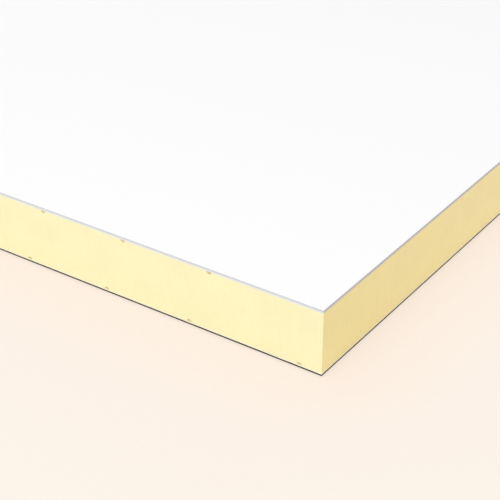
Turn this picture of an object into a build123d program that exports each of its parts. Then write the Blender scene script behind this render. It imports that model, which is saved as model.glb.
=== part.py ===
from build123d import *
import os

# A laminated sandwich panel lying flat: two glass-fibre skins bonded to a rigid foam core.
# All lengths are in millimetres.
# The origin is the centre of the underside, +X runs across the panel, +Y along it and +Z is up.

# Stock sheet
panel_width = 1220.0
panel_length = 2440.0
panel_thickness = 50.0

# Glass-fibre skins, with the fine arris that is filed along their outer edges after sawing
skin_thickness = 2.5
arris = 0.3

# Glue grooves, run along the full length of both core faces with a round-nosed cutter
groove_width = 4.0
groove_depth = 1.6
groove_pitch = 72.0
upper_first_groove = 88.0
lower_first_groove = 17.0
lower_second_groove = 105.0
least_edge_margin = 12.0

core_bottom = skin_thickness
core_top = panel_thickness - skin_thickness
core_thickness = core_top - core_bottom
half_width = panel_width / 2

# The cutter's nose is a circle through the groove's two lips and its floor,
# so its centre stands outside the core by what the radius has over the depth.
nose_radius = (groove_width**2 / 4 + groove_depth**2) / (2 * groove_depth)
nose_lift = nose_radius - groove_depth


def groove_places(first_inset):
    """X of the grooves in one core face, from the given inset off the +X long side onwards."""
    places = []
    inset = first_inset
    while inset <= panel_width - least_edge_margin:
        places.append(half_width - inset)
        inset += groove_pitch
    return places


upper_places = groove_places(upper_first_groove)
lower_places = [half_width - lower_first_groove] + groove_places(lower_second_groove)

# Vertical planes across the panel at its -Y end: the grooves' profile is drawn on them,
# with the sketch's X along the panel's X and its Y up.
end_plane = Plane.XZ.offset(panel_length / 2)


# Lower skin: one flat laminate, gelcoat side down.
with BuildPart() as bottom_skin:
    with BuildSketch(Plane.XY):
        Rectangle(panel_width, panel_length)
    extrude(amount=skin_thickness)
    underside_rim = bottom_skin.faces().sort_by(Axis.Z)[0].edges()
    chamfer(underside_rim, length=arris)

# Foam core: one slab, sawn flush with the skins, with shallow round grooves open to both faces.
with BuildPart() as foam_core:
    with BuildSketch(Plane.XY.offset(core_bottom)):
        Rectangle(panel_width, panel_length)
    extrude(amount=core_thickness)
    with BuildSketch(end_plane):
        with Locations(*[(x, core_top + nose_lift) for x in upper_places]):
            Circle(nose_radius)
        with Locations(*[(x, core_bottom - nose_lift) for x in lower_places]):
            Circle(nose_radius)
    extrude(amount=-panel_length, mode=Mode.SUBTRACT)

# Upper glue lines: the adhesive that set in the grooves under the top skin,
# sawn off flush with the two ends.
with BuildPart() as upper_glue_lines:
    with BuildSketch(end_plane):
        with Locations(*[(x, core_top + nose_lift) for x in upper_places]):
            Circle(nose_radius)
        with Locations((0, core_top)):
            Rectangle(panel_width, 2 * nose_radius, align=(Align.CENTER, Align.MIN), mode=Mode.SUBTRACT)
    extrude(amount=-panel_length)

# Lower glue lines: the same over the bottom skin, their flat side down.
with BuildPart() as lower_glue_lines:
    with BuildSketch(end_plane):
        with Locations(*[(x, core_bottom - nose_lift) for x in lower_places]):
            Circle(nose_radius)
        with Locations((0, core_bottom)):
            Rectangle(panel_width, 2 * nose_radius, align=(Align.CENTER, Align.MAX), mode=Mode.SUBTRACT)
    extrude(amount=-panel_length)

# Upper skin: the same laminate as the lower one, gelcoat side up.
with BuildPart() as top_skin:
    with BuildSketch(Plane.XY.offset(core_top)):
        Rectangle(panel_width, panel_length)
    extrude(amount=skin_thickness)
    upper_rim = top_skin.faces().sort_by(Axis.Z)[-1].edges()
    chamfer(upper_rim, length=arris)

bottom_skin.part.label = "bottom_skin"
foam_core.part.label = "foam_core"
upper_glue_lines.part.label = "upper_glue_lines"
lower_glue_lines.part.label = "lower_glue_lines"
top_skin.part.label = "top_skin"

os.makedirs("parts", exist_ok=True)
export_step(bottom_skin.part, "parts/bottom_skin.step")
export_step(foam_core.part, "parts/foam_core.step")
export_step(upper_glue_lines.part, "parts/upper_glue_lines.step")
export_step(lower_glue_lines.part, "parts/lower_glue_lines.step")
export_step(top_skin.part, "parts/top_skin.step")
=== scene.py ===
import math
import bmesh
import bpy
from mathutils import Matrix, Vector


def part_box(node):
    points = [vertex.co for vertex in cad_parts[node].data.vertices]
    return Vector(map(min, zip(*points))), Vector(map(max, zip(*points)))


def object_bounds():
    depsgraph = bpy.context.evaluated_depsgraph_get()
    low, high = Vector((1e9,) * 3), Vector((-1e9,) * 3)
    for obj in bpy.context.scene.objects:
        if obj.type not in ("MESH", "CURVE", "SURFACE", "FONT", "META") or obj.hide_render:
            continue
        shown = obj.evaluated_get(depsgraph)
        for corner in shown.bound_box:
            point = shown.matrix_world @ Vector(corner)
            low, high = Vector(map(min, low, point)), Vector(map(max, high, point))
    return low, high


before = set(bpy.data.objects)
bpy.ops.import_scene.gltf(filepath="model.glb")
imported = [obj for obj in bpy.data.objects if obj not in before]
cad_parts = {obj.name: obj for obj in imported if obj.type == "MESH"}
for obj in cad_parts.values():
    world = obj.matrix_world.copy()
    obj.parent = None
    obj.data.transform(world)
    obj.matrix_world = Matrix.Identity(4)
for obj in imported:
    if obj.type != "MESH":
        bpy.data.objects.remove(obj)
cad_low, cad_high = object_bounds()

# Camera: it stands off the panel's front right corner and looks down across it, so that both
# sawn edges run away from the middle of the picture and the upper skin fills the top of it.
front_right_corner = Vector((cad_high.x, cad_low.y, cad_high.z))
camera_off_the_corner = Vector((0.3666, -0.6097, 0.4625))
camera_look_down = 30.55
camera_heading = 34.69
camera_lens_mm = 98.68
camera_sensor_mm = 36
camera_clip_start = 0.01

camera_data = bpy.data.cameras.new("camera")
camera_data.lens = camera_lens_mm
camera_data.sensor_width = camera_sensor_mm
camera_data.clip_start = camera_clip_start
camera = bpy.data.objects.new("camera", camera_data)
camera.location = front_right_corner + camera_off_the_corner
camera.rotation_euler = (math.radians(90 - camera_look_down), 0, math.radians(camera_heading))
bpy.context.collection.objects.link(camera)
bpy.context.scene.camera = camera
bpy.context.scene.view_settings.view_transform = "Standard"

# Bottom skin: a sheet of glass-fibre reinforced polyester, dark grey gelcoat on the side that
# faces away from the foam. It is laid up flat on a table, then sawn to size with the core.
mm_per_metre = 1000
panel_size = cad_high - cad_low
panel_thickness_mm = panel_size.z * mm_per_metre
under_gelcoat = "#454548"
# Each sawn-edge value is given twice: first for the sides and back end, second for the front end,
# which faces the lamp. The first is a painted shade copy of the second, darker or warmer. The
# near-black outer band is partly the dark grey gelcoat and partly painted contact shadow, and on the
# sides and back end it reaches a little higher.
under_gelcoat_and_shadow_mm = (1.48, 1.38)
under_gelcoat_and_shadow = ("#0E0904", "#18140F")
inner_laminate_shaded_and_lit = ("#FEF2B8", "#FAF7E2")
inner_laminate_shade = "#EFE7C8"
gelcoat_boundary_mm = 0.25
strand_bundle_mm = (7.0, 7.0, 0.35)
# The strands shade the laminate, from nothing up to this share as their noise rises over the span.
strand_shade = 0.35
strand_span = (0.45, 0.75)
frayed_height = 0.0001
frayed_strength = 0.6
sawn_laminate_roughness = 0.7
orange_peel_mm = 6.0
orange_peel_height = 0.00005
orange_peel_strength = 0.15
gelcoat_roughness = 0.32
polyester_ior = 1.5
# A face counts as flat or as sawn by how upright its normal is, and as the front end by how far
# its normal points forwards, which is down to -1 along Y.
flat_face_upright = 0.83
sawn_face_upright = 0.3
front_end_forwards = -0.6
# The surface map that a skin is laid out on is one unit wide and high. The skin's thickness
# fills a strip but for a margin, and each flat face has its middle a share of the panel's width
# off the line between the two.
skin_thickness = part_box("bottom_skin")[1].z - cad_low.z
side_strip = 1
end_strip = 3
strip_height = 0.03
strip_filled = 0.8
flat_height = 0.38
flat_off_line = 0.51
map_middle = 0.5


def linear(hex_colour):
    """An sRGB hex colour as the linear RGBA that a shader socket takes."""
    channels = [int(hex_colour[i:i + 2], 16) / 255 for i in (1, 3, 5)]
    return [c / 12.92 if c <= 0.04045 else ((c + 0.055) / 1.055) ** 2.4 for c in channels] + [1.0]


def add(tree, kind, sockets, **settings):
    """Adds a node: settings are its properties, and sockets its inputs' values or what is linked to them.
    A Mix node's two colours are its inputs 6 and 7, and the mixed colour is its output 2."""
    made = tree.nodes.new(kind)
    for name, value in settings.items():
        setattr(made, name, value)
    for socket, value in sockets.items():
        if isinstance(value, bpy.types.NodeSocket):
            tree.links.new(value, made.inputs[socket])
        else:
            made.inputs[socket].default_value = value
    return made


def finish_material(name):
    """A new material, its tree, its surface shader, its coordinates, and the object's in millimetres."""
    material = bpy.data.materials.new(name)
    material.use_nodes = True
    tree = material.node_tree
    shader = tree.nodes["Principled BSDF"]
    place = add(tree, "ShaderNodeTexCoord", {})
    millimetres = add(tree, "ShaderNodeVectorMath", {0: place.outputs["Object"], "Scale": mm_per_metre},
                      operation="SCALE")
    return material, tree, shader, place, millimetres.outputs[0]


def front_end_mask(tree, normal):
    """1 on the front end, which faces the lamp and takes the lit colours, and 0 on the other edges, which
    take the painted shade copies.
    """
    return add(tree, "ShaderNodeMath", {0: normal.outputs["Y"], 1: front_end_forwards},
               operation="LESS_THAN").outputs[0]


def sawn_layers(tree, mm, at_front_end, strands, gelcoat_mm, gelcoat_edges, laminate_edges, laminate_shade):
    """A skin's sawn edge: the outer part is gelcoat and the resin-rich layer behind it, the inner part is
    glass fibre in resin, and the strands leave the border between them uneven. Off the front end both
    parts take painted shade colours, and on the bottom skin the outer part is also painted contact shadow."""
    axes = add(tree, "ShaderNodeSeparateXYZ", {0: mm})
    depth = add(tree, "ShaderNodeMath", {0: axes.outputs["Z"], 1: panel_thickness_mm / 2},
                operation="PINGPONG")
    ragged = add(tree, "ShaderNodeMath", {0: strands, 1: gelcoat_boundary_mm, 2: depth.outputs[0]},
                 operation="MULTIPLY_ADD")
    gelcoat_depth = add(tree, "ShaderNodeMapRange", {"Value": at_front_end, "To Min": gelcoat_mm[0],
                        "To Max": gelcoat_mm[1]})
    past_gelcoat = add(tree, "ShaderNodeMath", {0: ragged.outputs[0], 1: gelcoat_depth.outputs[0]},
                       operation="SUBTRACT")
    behind_gelcoat = add(tree, "ShaderNodeMapRange", {"Value": past_gelcoat.outputs[0],
                         "From Max": gelcoat_boundary_mm}, interpolation_type="SMOOTHSTEP")
    gelcoat = add(tree, "ShaderNodeMix", {0: at_front_end, 6: linear(gelcoat_edges[0]),
                  7: linear(gelcoat_edges[1])}, data_type="RGBA")
    laminate = add(tree, "ShaderNodeMix", {0: at_front_end, 6: linear(laminate_edges[0]),
                   7: linear(laminate_edges[1])}, data_type="RGBA")
    shaded = add(tree, "ShaderNodeMapRange", {"Value": strands, "From Min": strand_span[0],
                 "From Max": strand_span[1], "To Max": strand_shade})
    stranded = add(tree, "ShaderNodeMix", {0: shaded.outputs[0], 6: laminate.outputs[2],
                   7: linear(laminate_shade)}, data_type="RGBA")
    layers = add(tree, "ShaderNodeMix", {0: behind_gelcoat.outputs[0], 6: gelcoat.outputs[2],
                 7: stranded.outputs[2]}, data_type="RGBA")
    return layers.outputs[2]


def grp_laminate(name, face, gelcoat_mm, gelcoat_edges, laminate_edges, laminate_shade):
    """Gelcoated glass-fibre laminate: softly glossy on its flat faces, where the gelcoat keeps the table's
    polish under a slight orange peel, and duller, frayed and two-toned on its sawn edges."""
    material, tree, shader, place, mm = finish_material(name)
    normal = add(tree, "ShaderNodeSeparateXYZ", {0: place.outputs["Normal"]})
    upright = add(tree, "ShaderNodeMath", {0: normal.outputs["Z"]}, operation="ABSOLUTE")
    # The flat faces count 0, the sawn edges 1, and the filed arris at 45 degrees lies between them.
    sawn = add(tree, "ShaderNodeMapRange", {"Value": upright.outputs[0], "From Min": flat_face_upright,
               "From Max": sawn_face_upright})
    bundles = add(tree, "ShaderNodeMapping", {0: mm, "Scale": [1 / size for size in strand_bundle_mm]})
    strands = add(tree, "ShaderNodeTexNoise", {0: bundles.outputs[0], "Scale": 1, "Detail": 3})
    layers = sawn_layers(tree, mm, front_end_mask(tree, normal), strands.outputs[0], gelcoat_mm, gelcoat_edges,
                         laminate_edges, laminate_shade)
    colour = add(tree, "ShaderNodeMix", {0: sawn.outputs[0], 6: linear(face), 7: layers}, data_type="RGBA")
    tree.links.new(colour.outputs[2], shader.inputs["Base Color"])

    roughness = add(tree, "ShaderNodeMapRange", {"Value": sawn.outputs[0], "To Min": gelcoat_roughness,
                    "To Max": sawn_laminate_roughness})
    tree.links.new(roughness.outputs[0], shader.inputs["Roughness"])
    shader.inputs["IOR"].default_value = polyester_ior
    peel = add(tree, "ShaderNodeTexNoise", {0: mm, "Scale": 1 / orange_peel_mm, "Detail": 1})
    ripple = add(tree, "ShaderNodeBump", {"Strength": orange_peel_strength, "Distance": orange_peel_height,
                 "Height": peel.outputs[0]})
    frayed = add(tree, "ShaderNodeMath", {0: strands.outputs[0], 1: sawn.outputs[0]}, operation="MULTIPLY")
    relief = add(tree, "ShaderNodeBump", {"Strength": frayed_strength, "Distance": frayed_height,
                 "Height": frayed.outputs[0], "Normal": ripple.outputs[0]})
    tree.links.new(relief.outputs[0], shader.inputs["Normal"])
    return material


def strips_map(tree, place, facing, height_in_panel):
    """The number of the strip that a face belongs on, and its corners' places on the strips."""
    # A strip is numbered by the way it faces: 1 for the right side and its arris, 3 for the back end,
    # 2 for that end's arris, and the same below zero on the left and in front. A flat face counts 0.
    side = add(tree, "ShaderNodeVectorMath", {0: facing, 1: (side_strip, end_strip, 0)},
               operation="DOT_PRODUCT")
    strip = add(tree, "ShaderNodeMath", {0: side.outputs["Value"]}, operation="ROUND")
    turned = add(tree, "ShaderNodeVectorMath", {0: facing, 1: place}, operation="CROSS_PRODUCT")
    along_edge = add(tree, "ShaderNodeSeparateXYZ", {0: turned.outputs[0]})
    inwards = add(tree, "ShaderNodeMath", {0: height_in_panel, 1: panel_size.z / 2}, operation="PINGPONG")
    up_strip = add(tree, "ShaderNodeMath", {0: inwards.outputs[0], 1: strip_filled / skin_thickness,
                   2: strip.outputs[0]}, operation="MULTIPLY_ADD")
    on_strips = add(tree, "ShaderNodeCombineXYZ", {0: along_edge.outputs["Z"], 1: up_strip.outputs[0]})
    raised = end_strip + (1 - strip_filled) / 2
    places = add(tree, "ShaderNodeVectorMath", {0: on_strips.outputs[0],
                 1: (1 / panel_size.y, strip_height, 0), 2: (map_middle, raised * strip_height, 0)},
                 operation="MULTIPLY_ADD")
    return strip.outputs[0], places.outputs[0]


def flats_map(tree, facing, axes):
    """A flat face's corners' places: the two faces lie one above the other, over the strips."""
    normal = add(tree, "ShaderNodeSeparateXYZ", {0: facing})
    off_line = add(tree, "ShaderNodeMath", {0: normal.outputs["Z"], 1: flat_off_line * panel_size.x,
                   2: axes.outputs["X"]}, operation="MULTIPLY_ADD")
    on_flats = add(tree, "ShaderNodeCombineXYZ", {0: axes.outputs["Y"], 1: off_line.outputs[0]})
    strips_top = (2 * end_strip + 1) * strip_height
    places = add(tree, "ShaderNodeVectorMath", {0: on_flats.outputs[0],
                 1: (1 / panel_size.y, flat_height / panel_size.x, 0),
                 2: (map_middle, (1 + strips_top) / 2, 0)}, operation="MULTIPLY_ADD")
    return places.outputs[0]


def surface_map():
    """Lays a skin out on a flat map: a strip for each sawn edge and arris, far taller than to scale so that
    the thin layers have room, and above the strips the two flat faces."""
    tree = bpy.data.node_groups.new("surface_map", "GeometryNodeTree")
    for way in ("INPUT", "OUTPUT"):
        tree.interface.new_socket("Geometry", in_out=way, socket_type="NodeSocketGeometry")
    place = add(tree, "GeometryNodeInputPosition", {})
    axes = add(tree, "ShaderNodeSeparateXYZ", {0: place.outputs[0]})
    any_normal = add(tree, "GeometryNodeInputNormal", {})
    facing = add(tree, "GeometryNodeFieldOnDomain", {"Value": any_normal.outputs[0]}, domain="FACE",
                 data_type="FLOAT_VECTOR")
    strip, on_strips = strips_map(tree, place.outputs[0], facing.outputs[0], axes.outputs["Z"])
    on_flats = flats_map(tree, facing.outputs[0], axes)
    flat = add(tree, "ShaderNodeMath", {0: strip, 1: 0, 2: side_strip / 2}, operation="COMPARE")
    laid_out = add(tree, "GeometryNodeSwitch", {"Switch": flat.outputs[0], "False": on_strips,
                   "True": on_flats}, input_type="VECTOR")
    skin = add(tree, "NodeGroupInput", {})
    mapped = add(tree, "GeometryNodeStoreNamedAttribute", {"Geometry": skin.outputs[0], "Name": "OFBake",
                 "Value": laid_out.outputs[0]}, data_type="FLOAT2", domain="CORNER")
    add(tree, "NodeGroupOutput", {0: mapped.outputs[0]})
    return tree


def map_surface(node, tree):
    """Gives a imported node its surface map, and leaves its mesh as it is."""
    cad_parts[node].modifiers.new("surface_map", "NODES").node_group = tree


def dress(node, material):
    """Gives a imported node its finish."""
    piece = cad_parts[node]
    piece.data.materials.clear()
    piece.data.materials.append(material)


dress("bottom_skin", grp_laminate("dark_gelcoated_grp_laminate", under_gelcoat, under_gelcoat_and_shadow_mm,
      under_gelcoat_and_shadow, inner_laminate_shaded_and_lit, inner_laminate_shade))
skin_map = surface_map()
map_surface("bottom_skin", skin_map)

# Foam core: rigid polyurethane foam, a fine closed-cell block cut to one slab. The saw opens the
# cells at its edges, which leaves a dry, even, slightly mottled face. All its edges but the front end
# are painted a warmer yellow, painted shade, deeper towards the corners.
# Shallow grooves for the glue are milled along both its faces, and glue soaks in round them.
panel_half_width_mm = cad_high.x * mm_per_metre
panel_half_length_mm = cad_high.y * mm_per_metre
core_face_mm = (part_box("foam_core")[0].z - cad_low.z) * mm_per_metre
foam_painted_shade = "#FDECB2"
foam_painted_shade_near_corners = "#F8E6A8"
foam_front_end = "#FAF4C6"
foam_soaked = "#EDE1AA"
corner_deepening_mm = 240.0
# The foot of each edge is painted paler, painted light against the shade near the floor, and more so on the
# sides and back end.
foam_foot_mm = 27.0
foam_foot_painted_light = (0.053, 0.012)
# A cell's middle is a little darker than the foam's plain colour, and its walls, which lie up to
# a share of its size off, a third as much lighter.
foam_cell_mm = 0.9
foam_cell_shade = 0.035
foam_cell_light = foam_cell_shade / 3
foam_cell_wall = 0.8
foam_pit_depth = 0.0002
foam_pit_strength = 0.25
foam_saw_line_mm = 2.4
foam_saw_slant = 0.15
foam_saw_shade = 0.008
foam_score_depth = 0.0001
foam_score_strength = 0.2
foam_mottle_mm = 26.0
foam_mottle_shade = 0.015
# Nearly all of a noise pattern's values lie in this span.
noise_span = (0.3, 0.7)
foam_roughness = 0.95
foam_ior = 1.3
# The glue lines show where the grooves are. Each face has an even row of them, and the lower face
# has one more, which lies nearest the right long side.
grooves_in_row = 16
groove_half_width_mm = 2.0
glue_soak_mm = 1.3
upper_glue_left, upper_glue_right = [corner.x * mm_per_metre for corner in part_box("upper_glue_lines")]
lower_glue_left, lower_glue_right = [corner.x * mm_per_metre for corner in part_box("lower_glue_lines")]
upper_row_width_mm = upper_glue_right - upper_glue_left - 2 * groove_half_width_mm
groove_pitch_mm = upper_row_width_mm / (grooves_in_row - 1)
upper_groove_inset_mm = panel_half_width_mm - upper_glue_right + groove_half_width_mm
edge_groove_inset_mm = panel_half_width_mm - lower_glue_right + groove_half_width_mm
last_groove_inset_mm = panel_half_width_mm - lower_glue_left - groove_half_width_mm
lower_groove_inset_mm = last_groove_inset_mm - upper_row_width_mm


def soaked_foam(tree, axes, specks):
    """How far glue has soaked into the foam, from 0 to 1: nearly all of it is in the first millimetre or so
    round a groove."""
    upper = add(tree, "ShaderNodeMath", {0: axes.outputs["Z"], 1: panel_thickness_mm / 2},
                operation="GREATER_THAN")
    first = add(tree, "ShaderNodeMapRange", {"Value": upper.outputs[0], "To Min": lower_groove_inset_mm,
                "To Max": upper_groove_inset_mm})
    inset = add(tree, "ShaderNodeMath", {0: panel_half_width_mm, 1: axes.outputs["X"]}, operation="SUBTRACT")
    past_first = add(tree, "ShaderNodeMath", {0: inset.outputs[0], 1: first.outputs[0]},
                     operation="SUBTRACT")
    # The even row starts at its first groove, so the distance is held at half a pitch further out.
    clamped = add(tree, "ShaderNodeMath", {0: past_first.outputs[0], 1: -groove_pitch_mm / 2},
                  operation="MAXIMUM")
    off_row = add(tree, "ShaderNodeMath", {0: clamped.outputs[0], 1: groove_pitch_mm / 2},
                  operation="PINGPONG")
    # One more groove lies near the long side, over the bottom skin only.
    off_edge_groove = add(tree, "ShaderNodeMath", {0: inset.outputs[0], 1: edge_groove_inset_mm},
                          operation="SUBTRACT")
    aside = add(tree, "ShaderNodeMath", {0: off_edge_groove.outputs[0]}, operation="ABSOLUTE")
    aside_if_lower = add(tree, "ShaderNodeMath", {0: upper.outputs[0], 1: groove_pitch_mm,
                         2: aside.outputs[0]}, operation="MULTIPLY_ADD")
    across = add(tree, "ShaderNodeMath", {0: off_row.outputs[0], 1: aside_if_lower.outputs[0]},
                 operation="MINIMUM")
    skinwards = add(tree, "ShaderNodeMath", {0: axes.outputs["Z"], 1: panel_thickness_mm / 2},
                    operation="PINGPONG")
    deep = add(tree, "ShaderNodeMath", {0: skinwards.outputs[0], 1: core_face_mm}, operation="SUBTRACT")
    offset = add(tree, "ShaderNodeCombineXYZ", {0: across.outputs[0], 1: deep.outputs[0]})
    reach = add(tree, "ShaderNodeVectorMath", {0: offset.outputs[0]}, operation="LENGTH")
    ragged = add(tree, "ShaderNodeMath", {0: specks, 1: glue_soak_mm, 2: reach.outputs["Value"]},
                 operation="MULTIPLY_ADD")
    soaked = add(tree, "ShaderNodeMapRange", {"Value": ragged.outputs[0], "From Min": groove_half_width_mm,
                 "From Max": groove_half_width_mm + glue_soak_mm, "To Min": 1, "To Max": 0},
                 interpolation_type="SMOOTHSTEP")
    return soaked.outputs[0]


def foam_tone(tree, axes, at_front_end):
    """The foam's colour: palest on the front end, and on the other edges a painted warm shade, deepest at
    the back end and towards the corners; and how much paler its foot is painted."""
    off_middle = add(tree, "ShaderNodeMath", {0: axes.outputs["Y"]}, operation="ABSOLUTE")
    near_corner = add(tree, "ShaderNodeMapRange", {"Value": off_middle.outputs[0],
                      "From Min": panel_half_length_mm - corner_deepening_mm,
                      "From Max": panel_half_length_mm})
    shaded_tone = add(tree, "ShaderNodeMix", {0: near_corner.outputs[0], 6: linear(foam_painted_shade),
               7: linear(foam_painted_shade_near_corners)}, data_type="RGBA")
    toned = add(tree, "ShaderNodeMix", {0: at_front_end, 6: shaded_tone.outputs[2], 7: linear(foam_front_end)},
                   data_type="RGBA")
    # Painted light: the edges are painted paler towards their foot.
    foot = add(tree, "ShaderNodeMapRange", {"Value": axes.outputs["Z"], "From Max": foam_foot_mm,
               "To Min": 1, "To Max": 0})
    painted_foot_light = add(tree, "ShaderNodeMapRange", {"Value": at_front_end, "To Min": foam_foot_painted_light[0],
                "To Max": foam_foot_painted_light[1]})
    foot_value = add(tree, "ShaderNodeMath", {0: foot.outputs[0], 1: painted_foot_light.outputs[0], 2: 1},
                     operation="MULTIPLY_ADD")
    return toned.outputs[2], foot_value.outputs[0]


def sawn_foam():
    """Rigid polyurethane foam as the saw leaves it: dry, quite matt and pale yellow, with a broad mottle and
    fine cells and saw lines that only just show as specks and bumps."""
    material, tree, shader, place, mm = finish_material("sawn_rigid_pu_foam")
    normal = add(tree, "ShaderNodeSeparateXYZ", {0: place.outputs["Normal"]})
    axes = add(tree, "ShaderNodeSeparateXYZ", {0: mm})
    toned, foot_value = foam_tone(tree, axes, front_end_mask(tree, normal))

    # Cells are really 0.3 to 0.5 mm across, and are drawn coarser so that they show.
    cells = add(tree, "ShaderNodeTexVoronoi", {0: mm, "Scale": 1 / foam_cell_mm})
    mottle = add(tree, "ShaderNodeTexNoise", {0: mm, "Scale": 1 / foam_mottle_mm, "Detail": 2})
    soaked = soaked_foam(tree, axes, cells.outputs["Distance"])
    stained = add(tree, "ShaderNodeMix", {0: soaked, 6: toned, 7: linear(foam_soaked)}, data_type="RGBA")

    # The saw's teeth leave slightly slanted lines across the thickness, on ends and sides alike.
    along_edge = add(tree, "ShaderNodeVectorMath", {0: mm, 1: (1, 1, foam_saw_slant)},
                     operation="DOT_PRODUCT")
    teeth = add(tree, "ShaderNodeMath", {0: along_edge.outputs["Value"], 1: foam_saw_line_mm},
                operation="DIVIDE")
    saw_lines = add(tree, "ShaderNodeTexNoise", {"W": teeth.outputs[0], "Scale": 1, "Detail": 2},
                    noise_dimensions="1D")

    cell_value = add(tree, "ShaderNodeMapRange", {"Value": cells.outputs["Distance"],
                     "From Max": foam_cell_wall, "To Min": 1 - foam_cell_shade,
                     "To Max": 1 + foam_cell_light})
    mottle_value = add(tree, "ShaderNodeMapRange", {"Value": mottle.outputs[0], "From Min": noise_span[0],
                       "From Max": noise_span[1], "To Min": 1 - foam_mottle_shade,
                       "To Max": 1 + foam_mottle_shade})
    saw_value = add(tree, "ShaderNodeMapRange", {"Value": saw_lines.outputs[0], "From Min": noise_span[0],
                    "From Max": noise_span[1], "To Min": 1 - foam_saw_shade, "To Max": 1 + foam_saw_shade})
    fine = add(tree, "ShaderNodeMath", {0: cell_value.outputs[0], 1: saw_value.outputs[0]},
               operation="MULTIPLY")
    broad = add(tree, "ShaderNodeMath", {0: foot_value, 1: mottle_value.outputs[0]}, operation="MULTIPLY")
    both = add(tree, "ShaderNodeMath", {0: fine.outputs[0], 1: broad.outputs[0]}, operation="MULTIPLY")
    colour = add(tree, "ShaderNodeVectorMath", {0: stained.outputs[2], "Scale": both.outputs[0]},
                 operation="SCALE")
    tree.links.new(colour.outputs[0], shader.inputs["Base Color"])
    shader.inputs["Roughness"].default_value = foam_roughness
    shader.inputs["IOR"].default_value = foam_ior
    pits = add(tree, "ShaderNodeBump", {"Strength": foam_pit_strength, "Distance": foam_pit_depth,
               "Height": cells.outputs["Distance"]})
    scored = add(tree, "ShaderNodeBump", {"Strength": foam_score_strength, "Distance": foam_score_depth,
                 "Height": saw_lines.outputs[0], "Normal": pits.outputs[0]})
    tree.links.new(scored.outputs[0], shader.inputs["Normal"])
    return material


dress("foam_core", sawn_foam())

# Glue lines: the polyurethane adhesive that bonds the skins fills the grooves in the foam.
# It sets hard and tan, and the saw cuts it off flush, so that only its ends show.
glue_dark = "#C7B577"
glue_light = "#E1D59B"
glue_blotch_mm = 2.0
glue_blotch_span = (0.35, 0.65)
glue_bubble_height = 0.0001
glue_bubble_strength = 0.3
glue_roughness = 0.5


def set_adhesive():
    """Set polyurethane adhesive: hard, tan and half glossy, blotched where it foamed up as it set."""
    material, tree, shader, place, mm = finish_material("set_pu_adhesive")
    blotches = add(tree, "ShaderNodeTexNoise", {0: mm, "Scale": 1 / glue_blotch_mm, "Detail": 2})
    amount = add(tree, "ShaderNodeMapRange", {"Value": blotches.outputs[0],
                 "From Min": glue_blotch_span[0], "From Max": glue_blotch_span[1]})
    colour = add(tree, "ShaderNodeMix", {0: amount.outputs[0], 6: linear(glue_dark), 7: linear(glue_light)},
                 data_type="RGBA")
    tree.links.new(colour.outputs[2], shader.inputs["Base Color"])
    shader.inputs["Roughness"].default_value = glue_roughness
    bubbles = add(tree, "ShaderNodeBump", {"Strength": glue_bubble_strength,
                  "Distance": glue_bubble_height, "Height": blotches.outputs[0]})
    tree.links.new(bubbles.outputs[0], shader.inputs["Normal"])
    return material


glue_material = set_adhesive()
dress("lower_glue_lines", glue_material)
dress("upper_glue_lines", glue_material)

# Top skin: another sheet of glass-fibre reinforced polyester, with white gelcoat on its upper
# side. It is laid up as the bottom skin is, pressed on last, and sawn to size with the core.
upper_gelcoat = "#F6F6F7"
sawn_upper_gelcoat_mm = (1.41, 1.41)
# Of each pair, the first is a painted shade copy, darker, for the sides and back end, and the second is for
# the front end.
upper_gelcoat_edge_shaded_and_lit = ("#B2B0BF", "#CFD3DA")
outer_laminate_shaded_and_lit = ("#D0D0D2", "#E6E9EC")
outer_laminate_shade = "#CCCED0"
dress("top_skin", grp_laminate("white_gelcoated_grp_laminate", upper_gelcoat, sawn_upper_gelcoat_mm,
      upper_gelcoat_edge_shaded_and_lit, outer_laminate_shaded_and_lit, outer_laminate_shade))
map_surface("top_skin", skin_map)

# Floor: plain pale peach and matt, and so evenly lit that the panel throws only a faint soft
# shadow on it. Beside the panel it is painted warmer, painted bounce light from the yellow edges,
# and far off it fades into the backdrop.
floor_reach = 60.0
# The panel rests on the floor's high spots, this far above the rest of it.
floor_gap = 0.0006
floor_colour = "#F5EFE6"
floor_painted_bounce = "#FEEDDF"
floor_away = "#FCF3EA"
painted_bounce_reach = 0.1
floor_mottle_mm = 5.0
floor_mottle_shade = 0.006
backdrop_colour = "#F2EEEA"
# Where it is seen, this share of the floor is its plain colour, and the rest takes light and shadow.
floor_shown_share = 0.74
# Both fades lie between two distances from the panel's middle, in metres.
colour_fades = (3.0, 9.0)
shadows_fade = (3.0, 12.0)


def seen_directly(tree):
    """1 for what the camera sees itself, in a reflection or through something clear, and 0 for light."""
    path = add(tree, "ShaderNodeLightPath", {})
    itself = add(tree, "ShaderNodeMath", {0: path.outputs["Is Camera Ray"],
                 1: path.outputs["Is Glossy Ray"]}, operation="MAXIMUM")
    return add(tree, "ShaderNodeMath", {0: itself.outputs[0], 1: path.outputs["Is Transmission Ray"]},
               operation="MAXIMUM").outputs[0]


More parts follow.
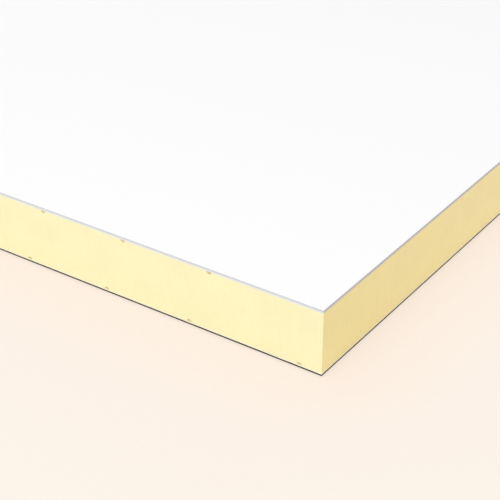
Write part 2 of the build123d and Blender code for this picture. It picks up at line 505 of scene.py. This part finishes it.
def plain_floor():
    """A matt floor, lifted to its pale colour where it is seen, that fades into the backdrop."""
    material, tree, shader, place, mm = finish_material("plain_floor")
    shader.inputs["Base Color"].default_value = linear(floor_colour)
    shader.inputs["Roughness"].default_value = 1.0
    shader.inputs["Specular IOR Level"].default_value = 0.0
    # How far a point lies outside the panel's outline, past its half size on any side. Off a corner
    # both ways count together, because less of the yellow edges faces the floor there.
    either_side = add(tree, "ShaderNodeVectorMath", {0: place.outputs["Object"]}, operation="ABSOLUTE")
    past_edge = add(tree, "ShaderNodeVectorMath", {0: either_side.outputs[0], 1: cad_high},
                    operation="SUBTRACT")
    outside = add(tree, "ShaderNodeVectorMath", {0: past_edge.outputs[0], 1: (0, 0, 0)}, operation="MAXIMUM")
    off_edge = add(tree, "ShaderNodeVectorMath", {0: outside.outputs[0], 1: (1, 1, 1)},
                   operation="DOT_PRODUCT")
    # Painted bounce light: the floor's colour warms towards the panel's outline.
    falling = add(tree, "ShaderNodeMath", {0: off_edge.outputs["Value"], 1: -painted_bounce_reach}, operation="DIVIDE")
    painted_bounce = add(tree, "ShaderNodeMath", {0: falling.outputs[0]}, operation="EXPONENT")
    floor_with_painted_bounce = add(tree, "ShaderNodeMix", {0: painted_bounce.outputs[0], 6: linear(floor_away),
                    7: linear(floor_painted_bounce)}, data_type="RGBA")
    away = add(tree, "ShaderNodeVectorMath", {0: place.outputs["Object"]}, operation="LENGTH")
    fade = add(tree, "ShaderNodeMapRange", {"Value": away.outputs["Value"], "From Min": colour_fades[0],
               "From Max": colour_fades[1]}, interpolation_type="SMOOTHSTEP")
    shown_colour = add(tree, "ShaderNodeMix", {0: fade.outputs[0], 6: floor_with_painted_bounce.outputs[2],
                       7: linear(backdrop_colour)}, data_type="RGBA")
    mottle = add(tree, "ShaderNodeTexNoise", {0: mm, "Scale": 1 / floor_mottle_mm, "Detail": 3})
    evenness = add(tree, "ShaderNodeMapRange", {"Value": mottle.outputs[0], "From Min": noise_span[0],
                   "From Max": noise_span[1], "To Min": 1 - floor_mottle_shade,
                   "To Max": 1 + floor_mottle_shade})
    glow = add(tree, "ShaderNodeEmission", {"Color": shown_colour.outputs[2],
               "Strength": evenness.outputs[0]})
    lift = add(tree, "ShaderNodeMapRange", {"Value": away.outputs["Value"], "From Min": shadows_fade[0],
               "From Max": shadows_fade[1], "To Min": floor_shown_share, "To Max": 1},
               interpolation_type="SMOOTHSTEP")
    lit_or_shown = add(tree, "ShaderNodeMath", {0: lift.outputs[0], 1: seen_directly(tree)},
                       operation="MULTIPLY")
    surface = add(tree, "ShaderNodeMixShader", {0: lit_or_shown.outputs[0], 1: shader.outputs[0],
                  2: glow.outputs[0]})
    tree.links.new(surface.outputs[0], tree.nodes["Material Output"].inputs["Surface"])
    return material


floor_mesh = bpy.data.meshes.new("floor")
floor_shape = bmesh.new()
bmesh.ops.create_grid(floor_shape, x_segments=1, y_segments=1, size=floor_reach)
bmesh.ops.translate(floor_shape, verts=floor_shape.verts, vec=(0, 0, cad_low.z - floor_gap))
floor_shape.to_mesh(floor_mesh)
floor_shape.free()
floor_mesh.materials.append(plain_floor())
floor = bpy.data.objects.new("floor", floor_mesh)
bpy.context.collection.objects.link(floor)

# Light: a pale surround, somewhat brighter low down behind the panel, so that its back edges are
# not dull, and one large soft lamp high in front of it, a little to the left.
surround_level = 0.78
extra_behind = 0.5
behind = Vector((-0.6, 0.8, 0))
behind_narrowness = 3.0
# From the panel's corner, the lamp stands this many degrees above the floor and to the left.
key_height = 59.0
key_side = 6.0
key_distance = 3.6
key_size = 3.0
key_power = 46.6

world = bpy.data.worlds.new("surround")
bpy.context.scene.world = world
world.use_nodes = True
surround = world.node_tree
sky_place = add(surround, "ShaderNodeTexCoord", {})
towards_behind = add(surround, "ShaderNodeVectorMath", {0: sky_place.outputs["Generated"], 1: behind},
                     operation="DOT_PRODUCT")
behind_only = add(surround, "ShaderNodeMath", {0: towards_behind.outputs["Value"], 1: 0},
                  operation="MAXIMUM")
narrowed = add(surround, "ShaderNodeMath", {0: behind_only.outputs[0], 1: behind_narrowness},
               operation="POWER")
level = add(surround, "ShaderNodeMath", {0: narrowed.outputs[0], 1: extra_behind, 2: surround_level},
            operation="MULTIPLY_ADD")
sky = add(surround, "ShaderNodeMix", {0: seen_directly(surround), 6: level.outputs[0],
          7: linear(backdrop_colour)}, data_type="RGBA")
surround.links.new(sky.outputs[2], surround.nodes["Background"].inputs["Color"])

key_data = bpy.data.lights.new("key_lamp", "AREA")
key_data.shape = "DISK"
key_data.size = key_size
key_data.energy = key_power
key = bpy.data.objects.new("key_lamp", key_data)
key_direction = Vector((-math.sin(math.radians(key_side)) * math.cos(math.radians(key_height)),
                        -math.cos(math.radians(key_side)) * math.cos(math.radians(key_height)),
                        math.sin(math.radians(key_height))))
key.location = front_right_corner + key_direction * key_distance
key.rotation_euler = key_direction.to_track_quat("Z", "Y").to_euler()
bpy.context.collection.objects.link(key)
